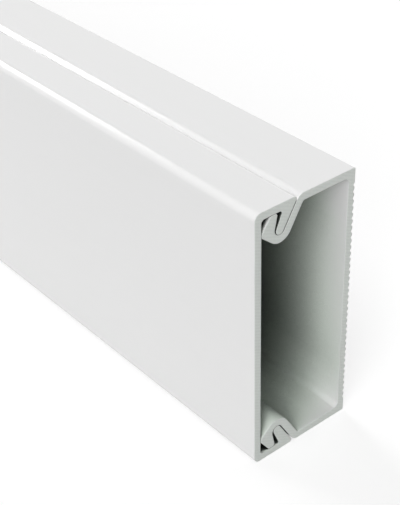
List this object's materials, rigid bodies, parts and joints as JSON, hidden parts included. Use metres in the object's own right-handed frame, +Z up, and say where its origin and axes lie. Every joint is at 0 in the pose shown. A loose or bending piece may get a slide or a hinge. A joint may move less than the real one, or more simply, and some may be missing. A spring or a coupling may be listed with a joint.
{
  "type": "mini cable trunking",
  "caption": "Straight bar of mini cable trunking in white PVC: a wall channel with a serrated back and hooked lips, closed by a clip-on cover.",
  "frame": {"origin": "middle of the length and depth, on the narrow side that the bar stands on", "axes": "+X along the bar, +Y from the cover's face towards the wall, +Z up across the cover's face"},
  "size_m": [2, 0.017, 0.04],
  "materials": {
    "white_pvc": "smooth, satin, as extruded, with plain cut ends"
  },
  "bodies": {
    "base": {"base": "white_pvc"},
    "cover": {"cover": "white_pvc"}
  },
  "joints": [
    {"name": "cover_slide", "type": "slide", "parent": "base", "child": "cover", "axis": [1, 0, 0], "range_m": [-1.9, 1.9]}
  ]
}
